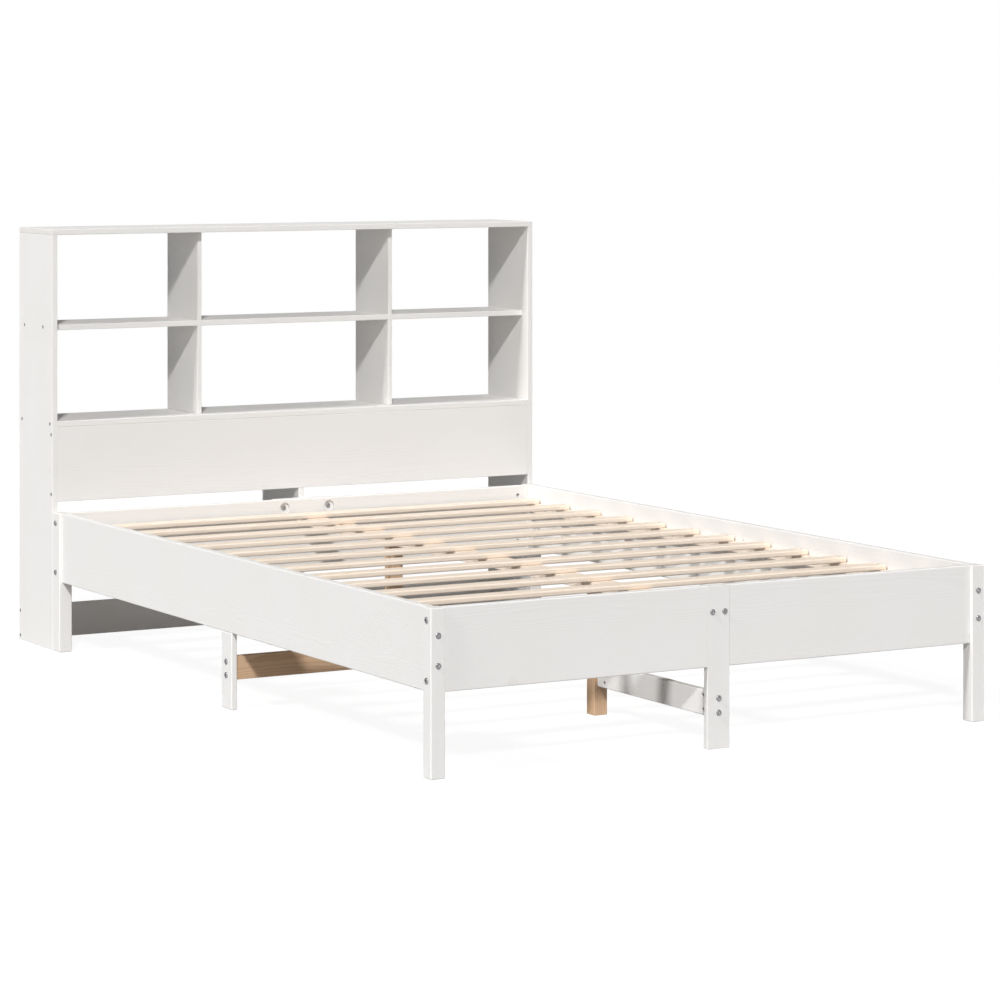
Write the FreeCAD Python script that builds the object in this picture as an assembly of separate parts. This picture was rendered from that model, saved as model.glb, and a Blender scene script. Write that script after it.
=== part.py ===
"""Double bed in painted pine with a slatted base and an open bookcase headboard.

Frame: origin on the floor at the middle of the plan, +X to the right seen from the foot,
+Y towards the bookcase, +Z up. Millimetres.
"""
import FreeCAD
import Part
import math
import os

Vec = FreeCAD.Vector
RIGHT = Vec(1, 0, 0)
HEADWARD = Vec(0, 1, 0)
UP = Vec(0, 0, 1)

# ---- Bed frame -------------------------------------------------------------------------
bed_inner_width = 1400.0      # between the side rails, for a 1400 mm mattress
side_rail_length = 1985.0     # between foot posts and head posts
post_width = 35.0
foot_post_depth = 35.0
head_post_depth = 50.0
rail_thickness = 20.0
rail_height = 180.0
rail_underside = 181.0        # clear height under the rails
frame_round = 2.5             # rounded edges of posts and rails
round_share = 0.4             # most of a piece's thinnest side that a rounded edge takes
rail_hole_diameter = 6.0      # blind hole in the inner face of each side rail
rail_hole_depth = 10.0
rail_hole_from_foot = 958.0   # foot face of the bed to the middle of the hole
rail_hole_rise = 4.0          # middle of the hole above the slat ledge

mid_leg_thickness = 15.0
front_leg_width = 58.0
side_leg_width = 55.0
side_leg_from_foot = 1020.0   # foot face of the bed to the middle of the side legs
front_leg_round = 1.0         # eased edges of the front leg, which lies flush in the rail
housing_clearance = 0.1       # each side of the front leg in the front rail

stretcher_thickness = 20.0
stretcher_height = 56.0
stretcher_underside = 68.0
bare_round = 1.5              # eased edges of bare pine pieces

beam_width = 58.0
beam_thickness = 20.0
beam_middle_height = 303.0
centre_leg_size = 35.0
foot_leg_from_foot = 524.0    # foot face of the bed to the middle of each centre leg
head_leg_from_foot = 1535.0

# ---- Slats -----------------------------------------------------------------------------
slat_count = 12
slat_width = 45.0
slat_thickness = 13.0
slat_end_clearance = 4.0
slat_head_gap = 1.0           # last slat to the head posts
slat_foot_gap = 138.0         # foot posts to the first slat
slat_round = 4.0
ledge_width = 22.0
ledge_height = 24.0
ledge_end_clearance = 1.0

# ---- Bookcase --------------------------------------------------------------------------
case_depth = 228.0
board_thickness = 15.0
board_round = 1.5
divider_thickness = 12.0
lower_shelf_underside = 583.0
bay_height = 236.5
bay_recess = 31.0             # middle shelves and dividers stand back from the front
divider_offset = 289.5        # middle of the bed to the middle of each divider
front_panel_height = 196.0
back_board_height = 89.0
tie_board_width = 180.0

# ---- Fasteners -------------------------------------------------------------------------
bolt_diameter = 6.0
bolt_head_diameter = 13.0
bolt_head_height = 3.0
bolt_head_round = 1.0
bolt_socket = 5.0             # across the flats of the hexagon
bolt_socket_depth = 2.2
bolt_hole_clearance = 1.0     # on the diameter
bolt_tip = 6.0                # bolt past the middle of its nut
bolt_tip_gap = 2.0            # hole past the tip of the bolt
thread_clearance = 0.2        # on the diameter, bolt in its nut
nut_diameter = 10.0
nut_length = 12.0
nut_hole_clearance = 0.4      # on the diameter
nut_setback = 33.0            # end of the rail to the middle of the nut
nut_slot_width = 1.6
nut_slot_depth = 1.5
head_sink = 8.0               # bolt heads let into the rear of the head posts
head_sink_clearance = 2.0     # on the diameter

wide_bolt_pitch = 128.0       # post to front or head rail, one above the other
narrow_bolt_pitch = 64.0      # post to side rail
pair_bolt_pitch = 32.0        # legs to stretchers, rails to centre beam

tie_bolt_spacing = 134.0
tie_bolt_height = 338.0
tie_recess_diameter = 30.0
tie_recess_depth = 9.0
tie_bolt_tip_gap = 1.0        # tip of the bolt short of the rear of the board behind
tie_screw_shares = (0.25, 0.75)   # screws into the centre panel, as shares of a board's height

screw_clearance = 0.3         # on the diameter
screw_socket_share = 0.45     # socket across flats, as a share of the head
case_screw = {"shank": 5.0, "head": 9.5, "length": 45.0}
light_screw = {"shank": 3.5, "head": 7.0, "length": 30.0}
slat_screw = {"shank": 3.5, "head": 7.0, "length": 25.0}
leg_screw = {"shank": 4.5, "head": 9.0, "length": 60.0}

shelf_screw_front = 16.0      # from the front edge of each shelf to its first screw
shelf_screw_back = 19.0       # from the rear edge to its second screw
middle_screw_front = 33.0     # the same for the middle shelves
middle_screw_back = 36.0
panel_screw_inset = 20.0      # from the ends of the front panel
back_screw_inset = 11.5       # from the edges of the back board
slat_screw_inset = 8.0
leg_screw_pitch = 18.0
ledge_screw_step = 2          # a ledge screw in every second gap between slats

dowel_diameter = 8.0
dowel_depth = 14.0            # into each piece where the wood allows
thin_dowel_diameter = 6.0
thin_dowel_depth = 5.0        # into a face of a bookcase board
dowel_clearance = 0.2         # on the diameter
dowel_end_gap = 0.5
post_dowel_heights = (90.0, 160.0)
leg_dowel_pitch = 30.0
front_dowel_pitch = 16.0      # dowels in the ends of the front and head rails
side_dowel_pitch = 36.0       # dowels in the ends of the side rails
shelf_dowel_inset = 40.0
panel_dowel_inset = 150.0

cut_overshoot = 1.0           # cutting shapes start and end this far outside the wood

# ---- Places worked out from the sizes above --------------------------------------------
half_width = (bed_inner_width + rail_thickness + post_width) / 2
rail_x = half_width - post_width / 2
inner_x = bed_inner_width / 2
post_inner_x = half_width - post_width
rail_top = rail_underside + rail_height
rail_mid = rail_underside + rail_height / 2

bed_length = foot_post_depth + side_rail_length + head_post_depth
overall_length = bolt_head_height + bed_length + case_depth
foot_y = bolt_head_height - overall_length / 2
rail_foot_y = foot_y + foot_post_depth
rail_head_y = rail_foot_y + side_rail_length
case_front_y = rail_head_y + head_post_depth
case_back_y = case_front_y + case_depth
front_rail_y = foot_y + foot_post_depth / 2
head_rail_y = rail_head_y + head_post_depth / 2
front_rail_face_y = front_rail_y - rail_thickness / 2
beam_foot_y = front_rail_y + rail_thickness / 2
beam_head_y = head_rail_y - rail_thickness / 2
beam_top = beam_middle_height + beam_thickness / 2
beam_underside = beam_middle_height - beam_thickness / 2
slat_top = beam_top + slat_thickness
stretcher_mid = stretcher_underside + stretcher_height / 2
side_leg_y = foot_y + side_leg_from_foot
rail_hole_y = foot_y + rail_hole_from_foot
foot_leg_y = foot_y + foot_leg_from_foot
head_leg_y = foot_y + head_leg_from_foot

panel_inner_x = half_width - board_thickness
lower_shelf_top = lower_shelf_underside + board_thickness
middle_shelf_underside = lower_shelf_top + bay_height
middle_shelf_top = middle_shelf_underside + board_thickness
top_board_underside = middle_shelf_top + bay_height
case_top = top_board_underside + board_thickness
front_panel_underside = lower_shelf_underside - front_panel_height
bay_front_y = case_front_y + bay_recess
panel_back_y = case_front_y + board_thickness

parts = {}


# ---- Making and joining wood -----------------------------------------------------------
def span(middle, size):
    return (middle - size / 2, middle + size / 2)


def board(name, x, y, z, radius):
    """A box between pairs of limits with all its edges rounded."""
    sizes = (x[1] - x[0], y[1] - y[0], z[1] - z[0])
    solid = Part.makeBox(*sizes, Vec(x[0], y[0], z[0]))
    limit = round_share * min(sizes)
    parts[name] = solid.makeFillet(min(radius, limit), solid.Edges)


def mirrored(x, side):
    """Limits in X on the right side (+1), or their mirror on the left side (-1)."""
    return x if side > 0 else (-x[1], -x[0])


def cut(name, tool):
    parts[name] = parts[name].cut(tool)


def rod(start, direction, length, diameter):
    return Part.makeCylinder(diameter / 2, length, start, direction)


def aimed(shape, start, direction):
    """Turn a shape made along +Z to point along a direction from a start point."""
    shape.Placement = FreeCAD.Placement(start, FreeCAD.Rotation(UP, direction))
    return shape


def hexagon(across_flats, depth):
    corner = across_flats / math.sqrt(3)
    sides = 6
    turns = [math.tau * step / sides for step in range(sides + 1)]
    ring = [Vec(corner * math.cos(turn), corner * math.sin(turn), 0) for turn in turns]
    return Part.Face(Part.makePolygon(ring)).extrude(Vec(0, 0, depth))


# ---- Fasteners -------------------------------------------------------------------------
def bolt_solid(length):
    """A low round-headed bolt along +Z: the underside of its head is at the origin."""
    head = Part.makeCylinder(bolt_head_diameter / 2, bolt_head_height, Vec(0, 0, -bolt_head_height))
    crown = [edge for edge in head.Edges if edge.BoundBox.ZMax < -bolt_head_height / 2]
    head = head.makeFillet(bolt_head_round, crown)
    socket = hexagon(bolt_socket, bolt_socket_depth)
    socket.translate(Vec(0, 0, -bolt_head_height))
    shank = Part.makeCylinder(bolt_diameter / 2, length)
    return head.fuse(shank).removeSplitter().cut(socket)


def nut_solid():
    """A slotted barrel nut along +Z, centred on the origin, tapped across along +X."""
    barrel = Part.makeCylinder(nut_diameter / 2, nut_length, Vec(0, 0, -nut_length / 2))
    tapped = rod(Vec(-nut_diameter, 0, 0), RIGHT, 2 * nut_diameter, bolt_diameter + thread_clearance)
    slot = Part.makeBox(
        2 * nut_diameter, nut_slot_width, nut_slot_depth,
        Vec(-nut_diameter, -nut_slot_width / 2, nut_length / 2 - nut_slot_depth))
    return barrel.cut(tapped).cut(slot)


def bolt_joint(through, into, seat, direction, grip, open_face, bolts, nuts, sink=0.0):
    """Bolt a piece to the end of another with a barrel nut.

    through lists the pieces that the bolt passes, into is the piece that holds the nut,
    seat is the point under the bolt's head on the outer face, direction runs into the wood,
    grip is from that face to the end of the other piece, and open_face points out of the
    side of it where the nut goes in.
    """
    reach = grip + nut_setback
    hole = bolt_diameter + bolt_hole_clearance
    seat = seat + direction * sink
    reach = reach - sink
    outside = seat - direction * (sink + cut_overshoot)
    for name in through:
        cut(name, rod(outside, direction, grip + 2 * cut_overshoot, hole))
        if sink:
            pocket = bolt_head_diameter + head_sink_clearance
            cut(name, rod(outside, direction, sink + cut_overshoot, pocket))
    cut(into, rod(seat, direction, reach + bolt_tip + bolt_tip_gap, hole))
    middle = seat + direction * reach
    nut_hole = nut_diameter + nut_hole_clearance
    foot = middle - open_face * (nut_length / 2)
    cut(into, rod(foot, open_face, rail_thickness, nut_hole))
    bolts.append(aimed(bolt_solid(reach + bolt_tip), seat, direction))
    nut = nut_solid()
    across = direction.cross(open_face)
    turn = FreeCAD.Rotation(direction, across * -1, open_face, "ZXY")
    nut.Placement = FreeCAD.Placement(middle, turn)
    nuts.append(nut)


def screw_shape(kind, grow=0.0):
    """A countersunk screw along +Z with its flat head at the origin."""
    shank = (kind["shank"] + grow) / 2
    head = (kind["head"] + grow) / 2
    cone = Part.makeCone(head, shank, head - shank)
    body = Part.makeCylinder(shank, kind["length"] + grow)
    return cone.fuse(body).removeSplitter()


def screw_joint(names, kind, start, direction, screws):
    """Drive a countersunk screw flush with the surface, through every named piece."""
    hole = aimed(screw_shape(kind, screw_clearance), start, direction)
    for name in names:
        cut(name, hole)
    flats = kind["head"] * screw_socket_share
    socket = hexagon(flats, flats / 2)
    screws.append(aimed(screw_shape(kind).cut(socket), start, direction))


def dowel_joint(first, second, point, direction, depths, diameter, dowels):
    """A dowel across a butt joint: depths are its length into the first and second piece."""
    hole = diameter + dowel_clearance
    back, front = depths
    cut(first, rod(point - direction * (back + dowel_end_gap), direction, back + dowel_end_gap, hole))
    cut(second, rod(point, direction, front + dowel_end_gap, hole))
    dowels.append(rod(point - direction * back, direction, back + front, diameter))


def group(name, solids):
    parts[name] = Part.makeCompound(solids)


# ---- Bookcase headboard ----------------------------------------------------------------
def make_bookcase():
    depth = (case_front_y, case_back_y)
    bay_depth = (bay_front_y, case_back_y)
    for side, word in ((-1, "left"), (1, "right")):
        outside = mirrored((panel_inner_x, half_width), side)
        board("side_panel_" + word, outside, depth, (0, top_board_underside), board_round)
        upright = span(side * divider_offset, divider_thickness)
        board("divider_" + word, upright, bay_depth, (lower_shelf_top, top_board_underside), board_round)
    board("top_board", (-half_width, half_width), depth, (top_board_underside, case_top), board_round)
    across = (-panel_inner_x, panel_inner_x)
    board("lower_shelf", across, depth, (lower_shelf_underside, lower_shelf_top), board_round)
    level = (middle_shelf_underside, middle_shelf_top)
    near = divider_offset - divider_thickness / 2
    far = divider_offset + divider_thickness / 2
    board("middle_shelf_left", (-panel_inner_x, -far), bay_depth, level, board_round)
    board("middle_shelf_centre", (-near, near), bay_depth, level, board_round)
    board("middle_shelf_right", (far, panel_inner_x), bay_depth, level, board_round)

    apron = (front_panel_underside, lower_shelf_underside)
    board("front_panel", across, (case_front_y, panel_back_y), apron, board_round)
    back = (case_back_y - board_thickness, case_back_y)
    board("back_board", across, back, (0, back_board_height), board_round)

    upright = span(0, board_thickness)
    board("centre_panel", upright, depth, (0, lower_shelf_underside), board_round)
    thick = 2 * board_thickness
    cut("centre_panel", Part.makeBox(
        thick, board_thickness, front_panel_height,
        Vec(-board_thickness, case_front_y, front_panel_underside)))
    cut("centre_panel", Part.makeBox(
        thick, board_thickness, back_board_height,
        Vec(-board_thickness, case_back_y - board_thickness, 0)))

    tie = (head_rail_y + rail_thickness / 2, case_front_y)
    board("tie_board", span(0, tie_board_width), tie, (rail_underside, rail_top), board_round)


def join_bookcase():
    screws = []
    shelf_mid = lower_shelf_underside + board_thickness / 2
    middle_mid = middle_shelf_underside + board_thickness / 2
    apron_y = case_front_y + board_thickness / 2
    back_y = case_back_y - board_thickness / 2
    for side, word in ((-1, "left"), (1, "right")):
        spots = (
            ("middle_shelf_" + word, bay_front_y + middle_screw_front, middle_mid),
            ("middle_shelf_" + word, case_back_y - middle_screw_back, middle_mid),
            ("lower_shelf", case_front_y + shelf_screw_front, shelf_mid),
            ("lower_shelf", case_back_y - shelf_screw_back, shelf_mid),
            ("front_panel", apron_y, lower_shelf_underside - panel_screw_inset),
            ("front_panel", apron_y, front_panel_underside + panel_screw_inset),
            ("back_board", back_y, back_board_height - back_screw_inset),
            ("back_board", back_y, back_screw_inset),
        )
        for node, y, z in spots:
            names = ("side_panel_" + word, node)
            screw_joint(names, case_screw, Vec(side * half_width, y, z), RIGHT * -side, screws)
    group("case_screws", screws)

    screws = []
    for share in tie_screw_shares:
        z = rail_underside + share * rail_height
        start = Vec(0, case_front_y - board_thickness, z)
        screw_joint(("tie_board", "centre_panel"), light_screw, start, HEADWARD, screws)
        start = Vec(0, case_back_y, share * back_board_height)
        screw_joint(("back_board", "centre_panel"), light_screw, start, HEADWARD * -1, screws)
    group("inner_screws", screws)

    dowels = []
    into_face = thin_dowel_depth
    rows = (bay_front_y + shelf_dowel_inset, case_back_y - shelf_dowel_inset)
    for side, word in ((-1, "left"), (1, "right")):
        divider = "divider_" + word
        for y in rows:
            x = side * divider_offset
            dowel_joint("lower_shelf", divider, Vec(x, y, lower_shelf_top), UP,
                        (into_face, dowel_depth), thin_dowel_diameter, dowels)
            dowel_joint(divider, "top_board", Vec(x, y, top_board_underside), UP,
                        (dowel_depth, into_face), thin_dowel_diameter, dowels)
            x = side * (half_width - board_thickness / 2)
            dowel_joint("side_panel_" + word, "top_board", Vec(x, y, top_board_underside), UP,
                        (dowel_depth, into_face), thin_dowel_diameter, dowels)
            outer = Vec(side * (divider_offset + divider_thickness / 2), y, middle_mid)
            dowel_joint(divider, "middle_shelf_" + word, outer, RIGHT * side,
                        (into_face, dowel_depth), thin_dowel_diameter, dowels)
            inner = Vec(side * (divider_offset - divider_thickness / 2), y, middle_mid)
            dowel_joint(divider, "middle_shelf_centre", inner, RIGHT * -side,
                        (into_face, dowel_depth), thin_dowel_diameter, dowels)
        x = side * (panel_inner_x - panel_dowel_inset)
        dowel_joint("front_panel", "lower_shelf", Vec(x, apron_y, lower_shelf_underside), UP,
                    (dowel_depth, into_face), thin_dowel_diameter, dowels)
    for y in (panel_back_y + shelf_dowel_inset, case_back_y - shelf_dowel_inset):
        dowel_joint("centre_panel", "lower_shelf", Vec(0, y, lower_shelf_underside), UP,
                    (dowel_depth, into_face), thin_dowel_diameter, dowels)
    group("case_dowels", dowels)


# ---- Bed frame -------------------------------------------------------------------------
def make_frame():
    height = (0, rail_top)
    rail = (rail_underside, rail_top)
    for side, word in ((-1, "left"), (1, "right")):
        outside = mirrored((post_inner_x, half_width), side)
        board("foot_post_" + word, outside, (foot_y, rail_foot_y), height, frame_round)
        board("head_post_" + word, outside, (rail_head_y, case_front_y), height, frame_round)
        thick = span(side * rail_x, rail_thickness)
        board("side_rail_" + word, thick, (rail_foot_y, rail_head_y), rail, frame_round)
        outer = rail_x + rail_thickness / 2
        leg = mirrored((outer - mid_leg_thickness, outer), side)
        board("mid_leg_" + word, leg, span(side_leg_y, side_leg_width), (0, rail_underside), frame_round)
        ledge = mirrored((inner_x - ledge_width, inner_x), side)
        along = (rail_foot_y + ledge_end_clearance, rail_head_y - ledge_end_clearance)
        board("slat_ledge_" + word, ledge, along, (beam_top - ledge_height, beam_top), bare_round)
        mouth = Vec(side * (inner_x - cut_overshoot), rail_hole_y, beam_top + rail_hole_rise)
        depth = rail_hole_depth + cut_overshoot
        cut("side_rail_" + word, rod(mouth, RIGHT * side, depth, rail_hole_diameter))

    across = (-post_inner_x, post_inner_x)
    board("front_rail", across, span(front_rail_y, rail_thickness), rail, frame_round)
    board("head_rail", across, span(head_rail_y, rail_thickness), rail, frame_round)

    leg = (front_rail_face_y, front_rail_face_y + mid_leg_thickness)
    board("mid_leg_front", span(0, front_leg_width), leg, height, front_leg_round)
    housing = front_leg_width + 2 * housing_clearance
    cut("front_rail", Part.makeBox(
        housing, mid_leg_thickness, rail_height,
        Vec(-housing / 2, front_rail_face_y, rail_underside)))

    beam = (beam_underside, beam_top)
    board("centre_beam", span(0, beam_width), (beam_foot_y, beam_head_y), beam, bare_round)
    square = span(0, centre_leg_size)
    for name, y in (("centre_leg_foot", foot_leg_y), ("centre_leg_head", head_leg_y)):
        board(name, square, span(y, centre_leg_size), (0, beam_underside), bare_round)

    level = (stretcher_underside, stretcher_underside + stretcher_height)
    along = (front_rail_face_y + mid_leg_thickness, foot_leg_y - centre_leg_size / 2)
    board("foot_stretcher", span(0, stretcher_thickness), along, level, frame_round)
    reach = rail_x + rail_thickness / 2 - mid_leg_thickness
    board("cross_stretcher", (-reach, reach), span(side_leg_y, stretcher_thickness), level, bare_round)


def slat_middle(number):
    first = rail_foot_y + slat_foot_gap + slat_width / 2
    last = rail_head_y - slat_head_gap - slat_width / 2
    return first + (last - first) * (number - 1) / (slat_count - 1)


def make_slats():
    reach = inner_x - slat_end_clearance
    screws = []
    for number in range(1, slat_count + 1):
        name = f"slat_{number:02d}"
        y = slat_middle(number)
        board(name, (-reach, reach), span(y, slat_width), (beam_top, slat_top), slat_round)
        for side, word in ((-1, "left"), (1, "right")):
            start = Vec(side * (reach - slat_screw_inset), y, slat_top)
            screw_joint((name, "slat_ledge_" + word), slat_screw, start, UP * -1, screws)
    group("slat_screws", screws)


def join_posts():
    bolts = []
    nuts = []
    wide = span(rail_mid, wide_bolt_pitch)
    narrow = span(rail_mid, narrow_bolt_pitch)
    for side, word in ((-1, "left"), (1, "right")):
        inward = RIGHT * -side
        foot_post = ("foot_post_" + word,)
        head_post = ("head_post_" + word,)
        side_rail = "side_rail_" + word
        for z in wide:
            seat = Vec(side * half_width, front_rail_y, z)
            bolt_joint(foot_post, "front_rail", seat, inward, post_width, HEADWARD, bolts, nuts)
            seat = Vec(side * half_width, head_rail_y, z)
            bolt_joint(head_post, "head_rail", seat, inward, post_width, HEADWARD * -1, bolts, nuts)
        for z in narrow:
            seat = Vec(side * rail_x, foot_y, z)
            bolt_joint(foot_post, side_rail, seat, HEADWARD, foot_post_depth, inward, bolts, nuts)
            seat = Vec(side * rail_x, case_front_y, z)
            bolt_joint(head_post, side_rail, seat, HEADWARD * -1, head_post_depth, inward,
                       bolts, nuts, sink=head_sink)
    group("post_bolts", bolts)
    group("post_barrel_nuts", nuts)


def join_beam():
    bolts = []
    nuts = []
    down = UP * -1
    for x in span(0, pair_bolt_pitch):
        seat = Vec(x, front_rail_face_y, beam_middle_height)
        bolt_joint(("mid_leg_front", "front_rail"), "centre_beam", seat, HEADWARD,
                   rail_thickness, down, bolts, nuts)
        seat = Vec(x, head_rail_y + rail_thickness / 2, beam_middle_height)
        bolt_joint(("head_rail",), "centre_beam", seat, HEADWARD * -1,
                   rail_thickness, down, bolts, nuts)
        pocket = bolt_head_diameter + head_sink_clearance
        cut("tie_board", rod(seat, HEADWARD, board_thickness + cut_overshoot, pocket))
    group("beam_bolts", bolts)
    group("beam_barrel_nuts", nuts)


def join_stretchers():
    bolts = []
    nuts = []
    outer = rail_x + rail_thickness / 2
    for z in span(stretcher_mid, pair_bolt_pitch):
        seat = Vec(0, front_rail_face_y, z)
        bolt_joint(("mid_leg_front",), "foot_stretcher", seat, HEADWARD,
                   mid_leg_thickness, RIGHT * -1, bolts, nuts)
        seat = Vec(0, foot_leg_y + centre_leg_size / 2, z)
        bolt_joint(("centre_leg_foot",), "foot_stretcher", seat, HEADWARD * -1,
                   centre_leg_size, RIGHT * -1, bolts, nuts)
        for side, word in ((-1, "left"), (1, "right")):
            seat = Vec(side * outer, side_leg_y, z)
            bolt_joint(("mid_leg_" + word,), "cross_stretcher", seat, RIGHT * -side,
                       mid_leg_thickness, HEADWARD, bolts, nuts)
    group("stretcher_bolts", bolts)
    group("stretcher_barrel_nuts", nuts)


def join_head_rail_to_bookcase():
    """Two bolts in wide recesses of the head rail, screwed into the board behind it."""
    bolts = []
    face_y = head_rail_y - rail_thickness / 2
    for x in span(0, tie_bolt_spacing):
        mouth = Vec(x, face_y - cut_overshoot, tie_bolt_height)
        recess = tie_recess_depth + cut_overshoot
        cut("head_rail", rod(mouth, HEADWARD, recess, tie_recess_diameter))
        through = rail_thickness + 2 * cut_overshoot
        cut("head_rail", rod(mouth, HEADWARD, through, bolt_diameter + bolt_hole_clearance))
        depth = rail_thickness - tie_recess_depth + board_thickness
        length = depth - tie_bolt_tip_gap
        seat = Vec(x, face_y + tie_recess_depth, tie_bolt_height)
        cut("tie_board", rod(seat, HEADWARD, depth, bolt_diameter + thread_clearance))
        bolts.append(aimed(bolt_solid(length), seat, HEADWARD))
    group("tie_bolts", bolts)


def join_ledges_and_legs():
    screws = []
    z = beam_top - ledge_height / 2
    for side, word in ((-1, "left"), (1, "right")):
        for number in range(1, slat_count, ledge_screw_step):
            between = (slat_middle(number) + slat_middle(number + 1)) / 2
            start = Vec(side * (inner_x - ledge_width), between, z)
            names = ("slat_ledge_" + word, "side_rail_" + word)
            screw_joint(names, light_screw, start, RIGHT * side, screws)
    group("ledge_screws", screws)

    screws = []
    for name, y in (("centre_leg_foot", foot_leg_y), ("centre_leg_head", head_leg_y)):
        for x in span(0, leg_screw_pitch):
            screw_joint(("centre_beam", name), leg_screw, Vec(x, y, beam_top), UP * -1, screws)
    group("leg_screws", screws)

    dowels = []
    both = (dowel_depth, dowel_depth)
    for side, word in ((-1, "left"), (1, "right")):
        x = side * (rail_x + rail_thickness / 2 - mid_leg_thickness / 2)
        for y in span(side_leg_y, leg_dowel_pitch):
            dowel_joint("mid_leg_" + word, "side_rail_" + word, Vec(x, y, rail_underside), UP,
                        both, dowel_diameter, dowels)
        x = side * (half_width - board_thickness / 2)
        for z in post_dowel_heights:
            dowel_joint("head_post_" + word, "side_panel_" + word, Vec(x, case_front_y, z), HEADWARD,
                        both, dowel_diameter, dowels)
        for z in span(rail_mid, front_dowel_pitch):
            end = Vec(side * post_inner_x, front_rail_y, z)
            dowel_joint("foot_post_" + word, "front_rail", end, RIGHT * -side, both, dowel_diameter, dowels)
            end = Vec(side * post_inner_x, head_rail_y, z)
            dowel_joint("head_post_" + word, "head_rail", end, RIGHT * -side, both, dowel_diameter, dowels)
        for z in span(rail_mid, side_dowel_pitch):
            rail = "side_rail_" + word
            end = Vec(side * rail_x, rail_foot_y, z)
            dowel_joint("foot_post_" + word, rail, end, HEADWARD, both, dowel_diameter, dowels)
            end = Vec(side * rail_x, rail_head_y, z)
            dowel_joint("head_post_" + word, rail, end, HEADWARD * -1, both, dowel_diameter, dowels)
    group("frame_dowels", dowels)


make_bookcase()
make_frame()
make_slats()
join_bookcase()
join_posts()
join_beam()
join_stretchers()
join_head_rail_to_bookcase()
join_ledges_and_legs()

os.makedirs("parts", exist_ok=True)
for node, shape in parts.items():
    shape.exportStep("parts/" + node + ".step")
    print(f"{node}: {len(shape.Solids)} solids, valid {shape.isValid()}")
overall_width = 2 * (half_width + bolt_head_height)
print(f"{len(parts)} nodes, {overall_width:.1f} x {overall_length:.1f} x {case_top:.1f} mm")
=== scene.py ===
"""Finishes, floor, lights and camera for a bookcase headboard bed of painted and bare pine."""

import math

import bpy
from mathutils import Euler, Matrix, Vector


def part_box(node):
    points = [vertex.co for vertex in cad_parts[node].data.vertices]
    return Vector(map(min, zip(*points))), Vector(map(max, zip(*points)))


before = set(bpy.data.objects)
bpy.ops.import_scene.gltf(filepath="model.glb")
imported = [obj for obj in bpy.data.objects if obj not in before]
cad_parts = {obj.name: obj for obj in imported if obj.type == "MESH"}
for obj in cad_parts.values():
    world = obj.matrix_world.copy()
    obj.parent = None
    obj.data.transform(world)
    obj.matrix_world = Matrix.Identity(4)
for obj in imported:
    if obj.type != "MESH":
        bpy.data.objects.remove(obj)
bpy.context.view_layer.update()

MM = 0.001

# Camera: level, looking along the bed from the left of its foot, the lens shifted down.
CAMERA_PLACE = (-4.24386, -7.59807, 1.39186)
CAMERA_LEVEL = math.radians(90)
CAMERA_SWING = math.radians(-29.738)
CAMERA_LENS = 125.778
CAMERA_SENSOR = 36.0
CAMERA_SHIFT = (-0.0005, -0.38179)
NEAR_CLIP = 0.1
FAR_CLIP = 100.0

# Which finish each piece takes. Steel goes by the last word of a name, the slats are bare
# too, and the rest is painted.
# The cross stretcher and the centre legs under the bed take a darker copy of the pine: painted shade,
# standing in for the bed's shadow on them.
UNDER_BED_SHADE_BOARDS = ("cross_stretcher", "centre_leg_foot", "centre_leg_head")
BARE_PIECES = UNDER_BED_SHADE_BOARDS + ("centre_beam", "slat_ledge_left", "slat_ledge_right",
                             "case_dowels", "frame_dowels")
STEEL_WORDS = ("bolts", "nuts", "screws")

# Colours, as linear light.
PAINT = (0.80, 0.788, 0.775, 1)
PAINT_YELLOWED = (0.76, 0.725, 0.67, 1)
PAINT_THIN = (0.70, 0.645, 0.565, 1)
FRESH_EARLY = (0.84, 0.735, 0.625, 1)
FRESH_LATE = (0.77, 0.63, 0.50, 1)
# The darker pine colours for the pieces under the bed are painted shade.
UNDER_BED_SHADE_EARLY = (0.62, 0.42, 0.27, 1)
UNDER_BED_SHADE_LATE = (0.46, 0.28, 0.155, 1)
FIBRE_DARK = (0.55, 0.38, 0.24, 1)
KNOT_WOOD = (0.30, 0.14, 0.06, 1)
KNOT_RIM = (0.16, 0.07, 0.03, 1)
END_GRAIN = (0.56, 0.39, 0.25, 1)
ZINC = (0.47, 0.47, 0.48, 1)
ZINC_DULL = (0.29, 0.29, 0.30, 1)
WHITE = (1, 1, 1, 1)
FLOOR_GREY = (0.40, 0.40, 0.40, 1)
FLOOR_CATCH = (0.12, 0.12, 0.12, 1)

# Studio: the world's light on things, the share of white a gloss sees, and the floor.
SKY_LIGHT = 0.05
GLOSS_SHARE = 0.4
FLOOR_SIDE = 14.0
FLOOR_GLOW = 0.92

# Each lamp: the way its light travels, its strength and the spread of its edge in degrees.
LAMPS = {
    "key_lamp": ((0.55, 1.0, -0.82), 2.32, 4.0),
    "side_lamp": ((1.0, 0.10, -1.0), 2.1, 7.0),
    "left_lamp": ((1.0, 0.25, -0.06), 0.3, 40.0),
    "right_lamp": ((-1.0, 0.10, -0.10), 0.9, 20.0),
    "front_lamp": ((0.15, 1.0, -0.2), 0.42, 24.0),
    "back_lamp": ((0.0, -1.0, -0.02), 0.6, 10.0),
}

# Pine, in metres: x runs along a board, y across its face and z through it. The pattern
# moves on by a shift from one board to the next, so that no two boards look alike.
BOARD_SHIFT = 3.71
PITH_SIDE_STEP = 2.3
PITH_SIDE_SHARE = 0.6
PITH_DEPTH_STEP = 1.7
PITH_DEPTH = 22 * MM
PITH_DEPTH_SWING = 18 * MM
PITH_SLOPE = 0.012
SLOW_WANDER = 66 * MM
QUICK_WANDER = 11 * MM
RING_STEP = 4.2 * MM
RING_DARKENS = (0.35, 0.92)
RING_ENDS = (0.93, 1.0)

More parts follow.
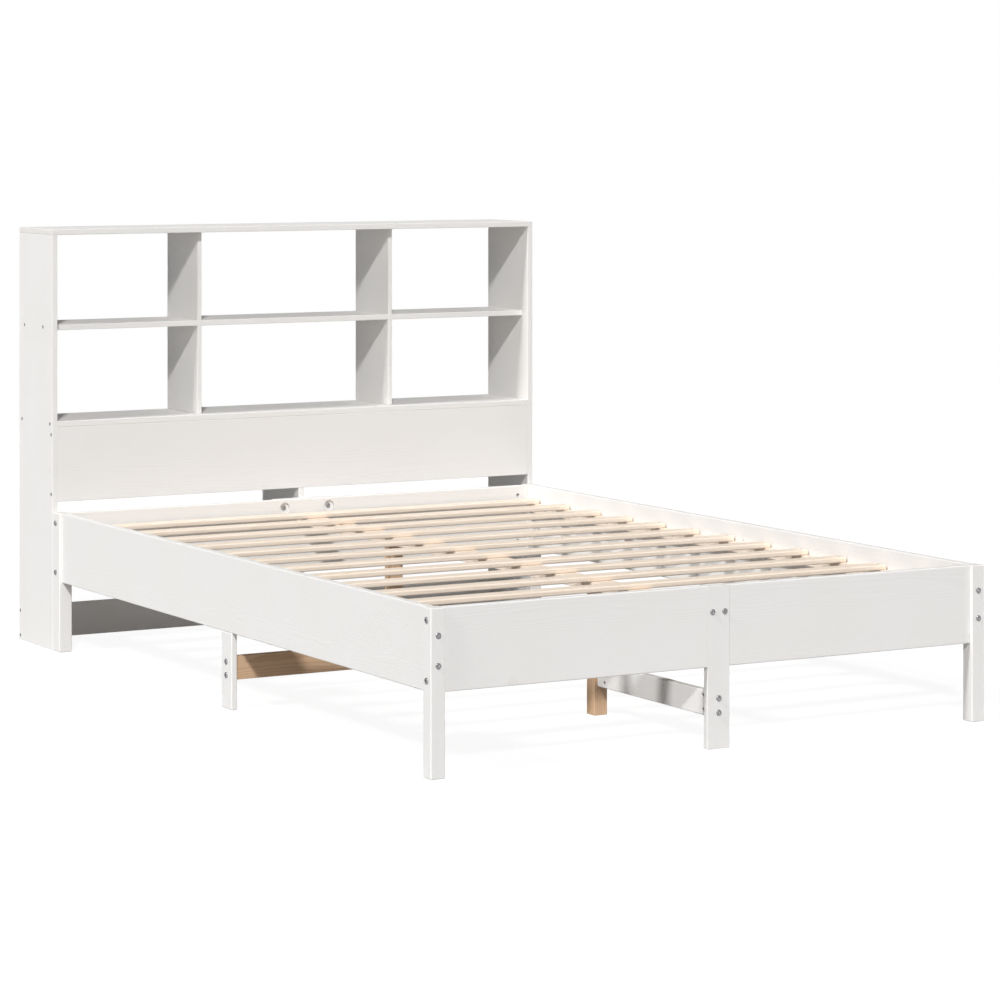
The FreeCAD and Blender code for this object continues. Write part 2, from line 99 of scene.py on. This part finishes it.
# One knot may lie in each cell. A share of the cells has one, and the others get a size
# below zero, which shows nothing.
KNOT_CELL = 0.34
KNOT_ROW_SHARE = 0.37
KNOT_SHARE = 0.55
KNOT_NONE = -0.02
KNOT_LARGEST = 13 * MM
KNOT_RAGGED = 4 * MM
KNOT_EDGE = 0.8 * MM
KNOT_RIM_WIDTH = 3.5 * MM
SWIRL_REACH = 22 * MM
SWIRL_PULL = 0.9
END_DEPTH = 0.7 * MM

# Stretched patterns: spots in a metre along the board, and in a metre across and through it.
SLOW_SPOTS = (1.6, 0.8)
QUICK_SPOTS = (5.0, 14.0)
FIBRE_SPOTS = (9.0, 420.0)
BROAD_SPOTS = (2.2, 40.0)

# Noises: spots in a metre, or 1 where the place is stretched already, detail and roughness.
SMOOTH_NOISE = (1.0, 2.0, 0.5)
FIBRE_NOISE = (1.0, 3.0, 0.6)
RAGGED_NOISE = (60.0, 3.0, 0.6)
CLOUD_NOISE = (5.0, 3.0, 0.5)
RUB_NOISE = (45.0, 4.0, 0.65)
PEEL_NOISE = (900.0, 2.0, 0.5)
SPANGLE_NOISE = (600.0, 3.0, 0.5)
SCUFF_NOISE = (2600.0, 2.0, 0.7)
NOISE_MIDDLE = 0.5

# Painted pine: where its marks start and are full, their shares in tone, roughness and
# relief, and the bump's strength and height.
CLOUD_SHOWS = (0.35, 0.75)
RUB_SHOWS = (0.50, 0.72)
WORN_PAINT = 1.6 * MM
PAINT_TONE = {"cloud": 0.15, "late": 0.05, "broad": 0.10, "knot": 0.22, "rim": 0.14,
              "worn": 0.45, "end": 0.25}
PAINT_ROUGHNESS = 0.40
PAINT_ROUGHER = {"cloud": 0.10, "fibre": 0.10, "end": 0.12, "late": -0.05}
PAINT_RELIEF = {"late": 0.45, "fibre": 0.35, "knot": 0.5, "rim": -0.6, "peel": 0.12}
PAINT_BUMP = (0.35, 0.6 * MM)
PAINT_GLOSS = 0.3

# Bare pine, in the same way.
FIBRE_SHOWS = (0.45, 0.80)
WORN_WOOD = 2.0 * MM
WOOD_TONE = {"late": 0.35, "broad": 0.5, "fibre": 0.30, "knot": 0.85, "rim": 0.75,
             "end": 0.45, "worn": 0.30}
WOOD_ROUGHNESS = 0.55
WOOD_ROUGHER = {"fibre": 0.15, "end": 0.12, "knot": -0.12}
WOOD_RELIEF = {"fibre": 0.6, "late": -0.25, "rim": -0.6}
WOOD_BUMP = (0.40, 0.4 * MM)
WOOD_GLOSS = 0.3

# Zinc plated steel.
SPANGLE_SHOWS = (0.35, 0.7)
ZINC_ROUGHNESS = 0.26
ZINC_ROUGHER = {"spangle": 0.16, "scuff": 0.10}
ZINC_BUMP = (0.25, 0.1 * MM)
ZINC_GLOSS = 0.5


class Signal:
    """A shader socket that Python arithmetic works on, each step one Math node."""

    def __init__(self, sheet, socket):
        self.sheet = sheet
        self.socket = socket

    def __add__(self, other):
        return self.sheet.sum("ADD", self, other)

    __radd__ = __add__

    def __sub__(self, other):
        return self.sheet.sum("SUBTRACT", self, other)

    def __rsub__(self, other):
        return self.sheet.sum("SUBTRACT", other, self)

    def __mul__(self, other):
        return self.sheet.sum("MULTIPLY", self, other)

    __rmul__ = __mul__

    def __truediv__(self, other):
        return self.sheet.sum("DIVIDE", self, other)

    def __rtruediv__(self, other):
        return self.sheet.sum("DIVIDE", other, self)

    def __abs__(self):
        return self.sheet.sum("ABSOLUTE", self)

    def twin(self, name):
        """Another output of the node that this one comes from."""
        return Signal(self.sheet, self.socket.node.outputs[name])


class Sheet:
    """The node sheet of one material or of the world."""

    def __init__(self, owner):
        owner.use_nodes = True
        self.tree = owner.node_tree
        self.tree.nodes.clear()

    def node(self, kind, settings=None, sockets=None, out=0):
        """A node of any kind: its settings first, then the values and links of its sockets."""
        made = self.tree.nodes.new(kind)
        for name, value in (settings or {}).items():
            setattr(made, name, value)
        for name, value in (sockets or {}).items():
            if isinstance(value, Signal):
                self.tree.links.new(value.socket, made.inputs[name])
            else:
                made.inputs[name].default_value = value
        return Signal(self, made.outputs[out]) if made.outputs else made

    def sum(self, operation, first, second=None):
        """One Math node on signals and numbers."""
        sockets = {0: first} if second is None else {0: first, 1: second}
        return self.node("ShaderNodeMath", {"operation": operation}, sockets)

    def blend(self, amount, first, second):
        """first where amount is 0, second where it is 1, as colours."""
        # A Mix node's colours are its inputs 6 and 7 and its output 2.
        settings = {"data_type": "RGBA", "blend_type": "MIX", "clamp_factor": True}
        return self.node("ShaderNodeMix", settings, {0: amount, 6: first, 7: second}, out=2)

    def fade(self, value, start, end, low=0.0, high=1.0):
        """low up to start, high past end, and a smooth step between them."""
        settings = {"interpolation_type": "SMOOTHSTEP", "clamp": True}
        sockets = {"Value": value, "From Min": start, "From Max": end, "To Min": low, "To Max": high}
        return self.node("ShaderNodeMapRange", settings, sockets)

    def near(self, distance, reach):
        """1 at no distance and 0 from reach on."""
        return self.fade(distance, 0.0, reach, 1.0, 0.0)

    def noise(self, vector, scale, detail, roughness):
        settings = {"noise_dimensions": "3D"}
        sockets = {"Vector": vector, "Scale": scale, "Detail": detail, "Roughness": roughness}
        return self.node("ShaderNodeTexNoise", settings, sockets)

    def sway(self, vector, pattern):
        """Noise that swings about zero."""
        return self.noise(vector, *pattern) - NOISE_MIDDLE

    def join(self, x, y, z):
        return self.node("ShaderNodeCombineXYZ", None, {"X": x, "Y": y, "Z": z})

    def own_place(self):
        """Object coordinates: the place in the piece's own mesh."""
        return self.node("ShaderNodeTexCoord", None, None, out="Object")

    def bump(self, height, strength, distance):
        values = {"Strength": strength, "Distance": distance, "Height": height}
        return self.node("ShaderNodeBump", None, values)


def weigh(base, marks, shares):
    """base and the share of each mark, added up."""
    total = base
    for name, share in shares.items():
        total = total + marks[name] * share
    return total


def board_lie(node):
    """Middle, half sizes along length, width and thickness, and the turn of a board's own axes."""
    low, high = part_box(node)
    middle = (low + high) / 2
    sizes = high - low
    order = sorted(range(3), key=lambda axis: -sizes[axis])
    length, width, thickness = [Vector([float(axis == place) for axis in range(3)]) for place in order]
    if length.cross(width).dot(thickness) < 0:
        thickness = -thickness
    turn = Matrix((length, width, thickness)).transposed().to_euler()
    halves = [sizes[place] / 2 for place in order]
    return middle, halves, turn


def knots(sheet, own, x, y, shift):
    """Masks of knots, their dark rims and the swirl of the rings about them, and knot sizes."""
    # Knots run through the board, so they lie on a flat sheet of cells along x and y.
    flat = sheet.join((x + shift) / KNOT_CELL, (y + shift * KNOT_ROW_SHARE) / KNOT_CELL, 0.0)
    cells = sheet.node("ShaderNodeTexVoronoi",
                       {"voronoi_dimensions": "2D", "feature": "F1"},
                       {"Vector": flat, "Scale": 1.0, "Randomness": 1.0})
    chance = sheet.node("ShaderNodeSeparateColor", None, {"Color": cells.twin("Color")})
    spread = cells * KNOT_CELL + sheet.sway(own, RAGGED_NOISE) * KNOT_RAGGED
    radius = sheet.fade(chance, 1 - KNOT_SHARE, 1.0, KNOT_NONE, KNOT_LARGEST)
    outside = spread - radius
    knot = sheet.fade(outside, -KNOT_EDGE, KNOT_EDGE, 1.0, 0.0)
    rim = knot * sheet.fade(outside, -KNOT_RIM_WIDTH, -KNOT_EDGE)
    return knot, rim, sheet.near(outside, SWIRL_REACH), radius


def late_wood(sheet, place, pith, shift, bend):
    """The dark part of each year's ring, about a pith that lies under the board and wanders."""
    x, y, z = place
    pith_side, pith_depth = pith
    along, across = SLOW_SPOTS
    slow = sheet.join(x * along + shift, y * across, z * across)
    wander = sheet.sway(slow, SMOOTH_NOISE) * SLOW_WANDER
    along, across = QUICK_SPOTS
    quick = sheet.join(x * along, y * across + shift, z * across)
    drift = sheet.sway(quick, SMOOTH_NOISE) * QUICK_WANDER
    off_y = y - pith_side + wander
    off_z = z + pith_depth + x * PITH_SLOPE
    reach = sheet.sum("SQRT", off_y * off_y + off_z * off_z)
    ring = sheet.sum("FRACT", (reach + drift + bend) / RING_STEP)
    return sheet.fade(ring, *RING_DARKENS) * sheet.fade(ring, *RING_ENDS, 1.0, 0.0)


def grain(sheet, node, number):
    """Solid pine: ring tone, fibre streaks, knot and rim masks, edge and end masks."""
    middle, halves, turn = board_lie(node)
    own = sheet.node("ShaderNodeMapping", {"vector_type": "TEXTURE"},
                     {"Vector": sheet.own_place(), "Location": middle, "Rotation": turn})
    x = sheet.node("ShaderNodeSeparateXYZ", None, {"Vector": own})
    y = x.twin("Y")
    z = x.twin("Z")

    shift = number * BOARD_SHIFT
    pith_side = math.sin(number * PITH_SIDE_STEP) * PITH_SIDE_SHARE * halves[1]
    pith_depth = halves[2] + PITH_DEPTH + PITH_DEPTH_SWING * math.sin(number * PITH_DEPTH_STEP)
    knot, rim, swirl, radius = knots(sheet, own, x, y, shift)
    bend = swirl * radius * SWIRL_PULL
    late = late_wood(sheet, (x, y, z), (pith_side, pith_depth), shift, bend)

    along, across = FIBRE_SPOTS
    fibre = sheet.noise(sheet.join(x * along + shift, y * across, z * across), *FIBRE_NOISE)
    along, across = BROAD_SPOTS
    broad = sheet.noise(sheet.join(x * along + shift, y * across, z * across), *SMOOTH_NOISE)

    # Distance to the nearest arris: the second smallest of the distances to the faces.
    gaps = [halves[0] - abs(x), halves[1] - abs(y), halves[2] - abs(z)]
    least = sheet.sum("MINIMUM", gaps[0], gaps[1])
    most = sheet.sum("MAXIMUM", gaps[0], gaps[1])
    arris = sheet.sum("MAXIMUM", least, sheet.sum("MINIMUM", most, gaps[2]))
    return {"own": own, "late": late, "fibre": fibre, "broad": broad, "knot": knot,
            "rim": rim, "arris": arris, "end": sheet.near(gaps[0], END_DEPTH)}


def finish_surface(sheet, colour, roughness, normal, gloss, metallic=0.0):
    """The shader and its output; normal is a Bump node's link."""
    values = {"Base Color": colour, "Roughness": roughness, "Normal": normal,
              "Specular IOR Level": gloss, "Metallic": metallic}
    shader = sheet.node("ShaderNodeBsdfPrincipled", None, values)
    sheet.node("ShaderNodeOutputMaterial", None, {"Surface": shader})


def painted_pine(node, number):
    """White lacquer over pine: the grain stands up faintly, knots yellow it, arrises are thin."""
    material = bpy.data.materials.new(f"painted_pine_{node}")
    sheet = Sheet(material)
    marks = grain(sheet, node, number)
    marks["cloud"] = sheet.noise(marks["own"], *CLOUD_NOISE)
    marks["peel"] = sheet.noise(marks["own"], *PEEL_NOISE)
    share = PAINT_TONE
    clouded = sheet.fade(marks["cloud"], *CLOUD_SHOWS) * share["cloud"]
    tone = sheet.blend(clouded, PAINT, PAINT_YELLOWED)
    ringed = marks["late"] * (share["late"] + share["broad"] * marks["broad"])
    tone = sheet.blend(ringed, tone, PAINT_YELLOWED)
    knotted = marks["knot"] * share["knot"] + marks["rim"] * share["rim"]
    tone = sheet.blend(knotted, tone, PAINT_THIN)
    rub = sheet.fade(sheet.noise(marks["own"], *RUB_NOISE), *RUB_SHOWS)
    worn = sheet.near(marks["arris"], WORN_PAINT) * rub
    tone = sheet.blend(worn * share["worn"], tone, PAINT_THIN)
    tone = sheet.blend(marks["end"] * share["end"], tone, PAINT_THIN)
    roughness = weigh(PAINT_ROUGHNESS, marks, PAINT_ROUGHER)
    relief = sheet.bump(weigh(0.0, marks, PAINT_RELIEF), *PAINT_BUMP)
    finish_surface(sheet, tone, roughness, relief, PAINT_GLOSS)
    return material


def bare_pine(node, number):
    """Planed pine with rings, fibre, knots and darker end grain."""
    material = bpy.data.materials.new(f"bare_pine_{node}")
    sheet = Sheet(material)
    marks = grain(sheet, node, number)
    share = WOOD_TONE
    # Pieces under the bed take the darker pine colours: painted shade.
    early, late = (UNDER_BED_SHADE_EARLY, UNDER_BED_SHADE_LATE) if node in UNDER_BED_SHADE_BOARDS else (FRESH_EARLY, FRESH_LATE)
    tone = sheet.blend(marks["late"] * (share["late"] + share["broad"] * marks["broad"]), early, late)
    streaks = sheet.fade(marks["fibre"], *FIBRE_SHOWS) * share["fibre"]
    tone = sheet.blend(streaks, tone, FIBRE_DARK)
    tone = sheet.blend(marks["knot"] * share["knot"], tone, KNOT_WOOD)
    tone = sheet.blend(marks["rim"] * share["rim"], tone, KNOT_RIM)
    tone = sheet.blend(marks["end"] * share["end"], tone, END_GRAIN)
    worn = sheet.near(marks["arris"], WORN_WOOD)
    tone = sheet.blend(worn * share["worn"] * marks["fibre"], tone, FIBRE_DARK)
    roughness = weigh(WOOD_ROUGHNESS, marks, WOOD_ROUGHER)
    relief = sheet.bump(weigh(0.0, marks, WOOD_RELIEF), *WOOD_BUMP)
    finish_surface(sheet, tone, roughness, relief, WOOD_GLOSS)
    return material


def zinc_steel(node):
    """Zinc plated steel: fine cloudy spangle, scuffs and dull patches."""
    material = bpy.data.materials.new(f"zinc_steel_{node}")
    sheet = Sheet(material)
    place = sheet.own_place()
    marks = {"spangle": sheet.noise(place, *SPANGLE_NOISE), "scuff": sheet.noise(place, *SCUFF_NOISE)}
    tone = sheet.blend(sheet.fade(marks["spangle"], *SPANGLE_SHOWS), ZINC, ZINC_DULL)
    roughness = weigh(ZINC_ROUGHNESS, marks, ZINC_ROUGHER)
    relief = sheet.bump(marks["scuff"], *ZINC_BUMP)
    finish_surface(sheet, tone, roughness, relief, ZINC_GLOSS, metallic=1.0)
    return material


def finish_of(node, number):
    if node.split("_")[-1] in STEEL_WORDS:
        return zinc_steel(node)
    if node in BARE_PIECES or (node.startswith("slat_") and node[-1].isdigit()):
        return bare_pine(node, number)
    return painted_pine(node, number)


def finish_pieces():
    """Gives each CAD node its own finish in its slots."""
    for number, node in enumerate(sorted(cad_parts)):
        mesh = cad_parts[node].data
        mesh.materials.clear()
        mesh.materials.append(finish_of(node, number))


def white_to_eye(sheet):
    """1 for what the camera sees, less for a gloss, 0 for the light that falls on things."""
    eye = sheet.node("ShaderNodeLightPath", out="Is Camera Ray")
    return eye + eye.twin("Is Glossy Ray") * GLOSS_SHARE


def lay_sky():
    """An even world that looks white and lights things faintly."""
    world = bpy.data.worlds.new("studio")
    bpy.context.scene.world = world
    sheet = Sheet(world)
    seen = white_to_eye(sheet)
    strength = seen * (1.0 - SKY_LIGHT) + SKY_LIGHT
    glow = sheet.node("ShaderNodeBackground", None, {"Color": WHITE, "Strength": strength})
    sheet.node("ShaderNodeOutputWorld", None, {"Surface": glow})


def lay_floor():
    """A pale floor that looks white where it is lit and keeps the bed's shadow."""
    bpy.ops.mesh.primitive_plane_add(size=FLOOR_SIDE, location=(0, 0, 0))
    floor = bpy.context.object
    floor.name = "studio_floor"
    material = bpy.data.materials.new("studio_floor")
    sheet = Sheet(material)
    seen = white_to_eye(sheet)
    plain = sheet.node("ShaderNodeBsdfDiffuse", None, {"Color": FLOOR_GREY})
    catch = sheet.node("ShaderNodeBsdfDiffuse", None, {"Color": FLOOR_CATCH})
    glow = sheet.node("ShaderNodeEmission", None, {"Color": WHITE, "Strength": FLOOR_GLOW})
    shown = sheet.node("ShaderNodeAddShader", None, {0: catch, 1: glow})
    both = sheet.node("ShaderNodeMixShader", None, {0: seen, 1: plain, 2: shown})
    sheet.node("ShaderNodeOutputMaterial", None, {"Surface": both})
    floor.data.materials.append(material)


def hang_lamps():
    """Far studio lamps."""
    for name, (heading, strength, spread) in LAMPS.items():
        lamp = bpy.data.lights.new(name, "SUN")
        lamp.energy = strength
        lamp.angle = math.radians(spread)
        holder = bpy.data.objects.new(name, lamp)
        holder.rotation_euler = Vector(heading).to_track_quat("-Z", "Y").to_euler()
        bpy.context.scene.collection.objects.link(holder)


def place_camera():
    lens = bpy.data.cameras.new("camera")
    lens.sensor_width = CAMERA_SENSOR
    lens.lens = CAMERA_LENS
    lens.shift_x, lens.shift_y = CAMERA_SHIFT
    lens.clip_start = NEAR_CLIP
    lens.clip_end = FAR_CLIP
    camera = bpy.data.objects.new("camera", lens)
    camera.location = CAMERA_PLACE
    camera.rotation_euler = Euler((CAMERA_LEVEL, 0.0, CAMERA_SWING))
    bpy.context.scene.collection.objects.link(camera)
    bpy.context.scene.camera = camera


place_camera()
lay_sky()
lay_floor()
hang_lamps()
finish_pieces()
bpy.context.scene.view_settings.view_transform = "Standard"
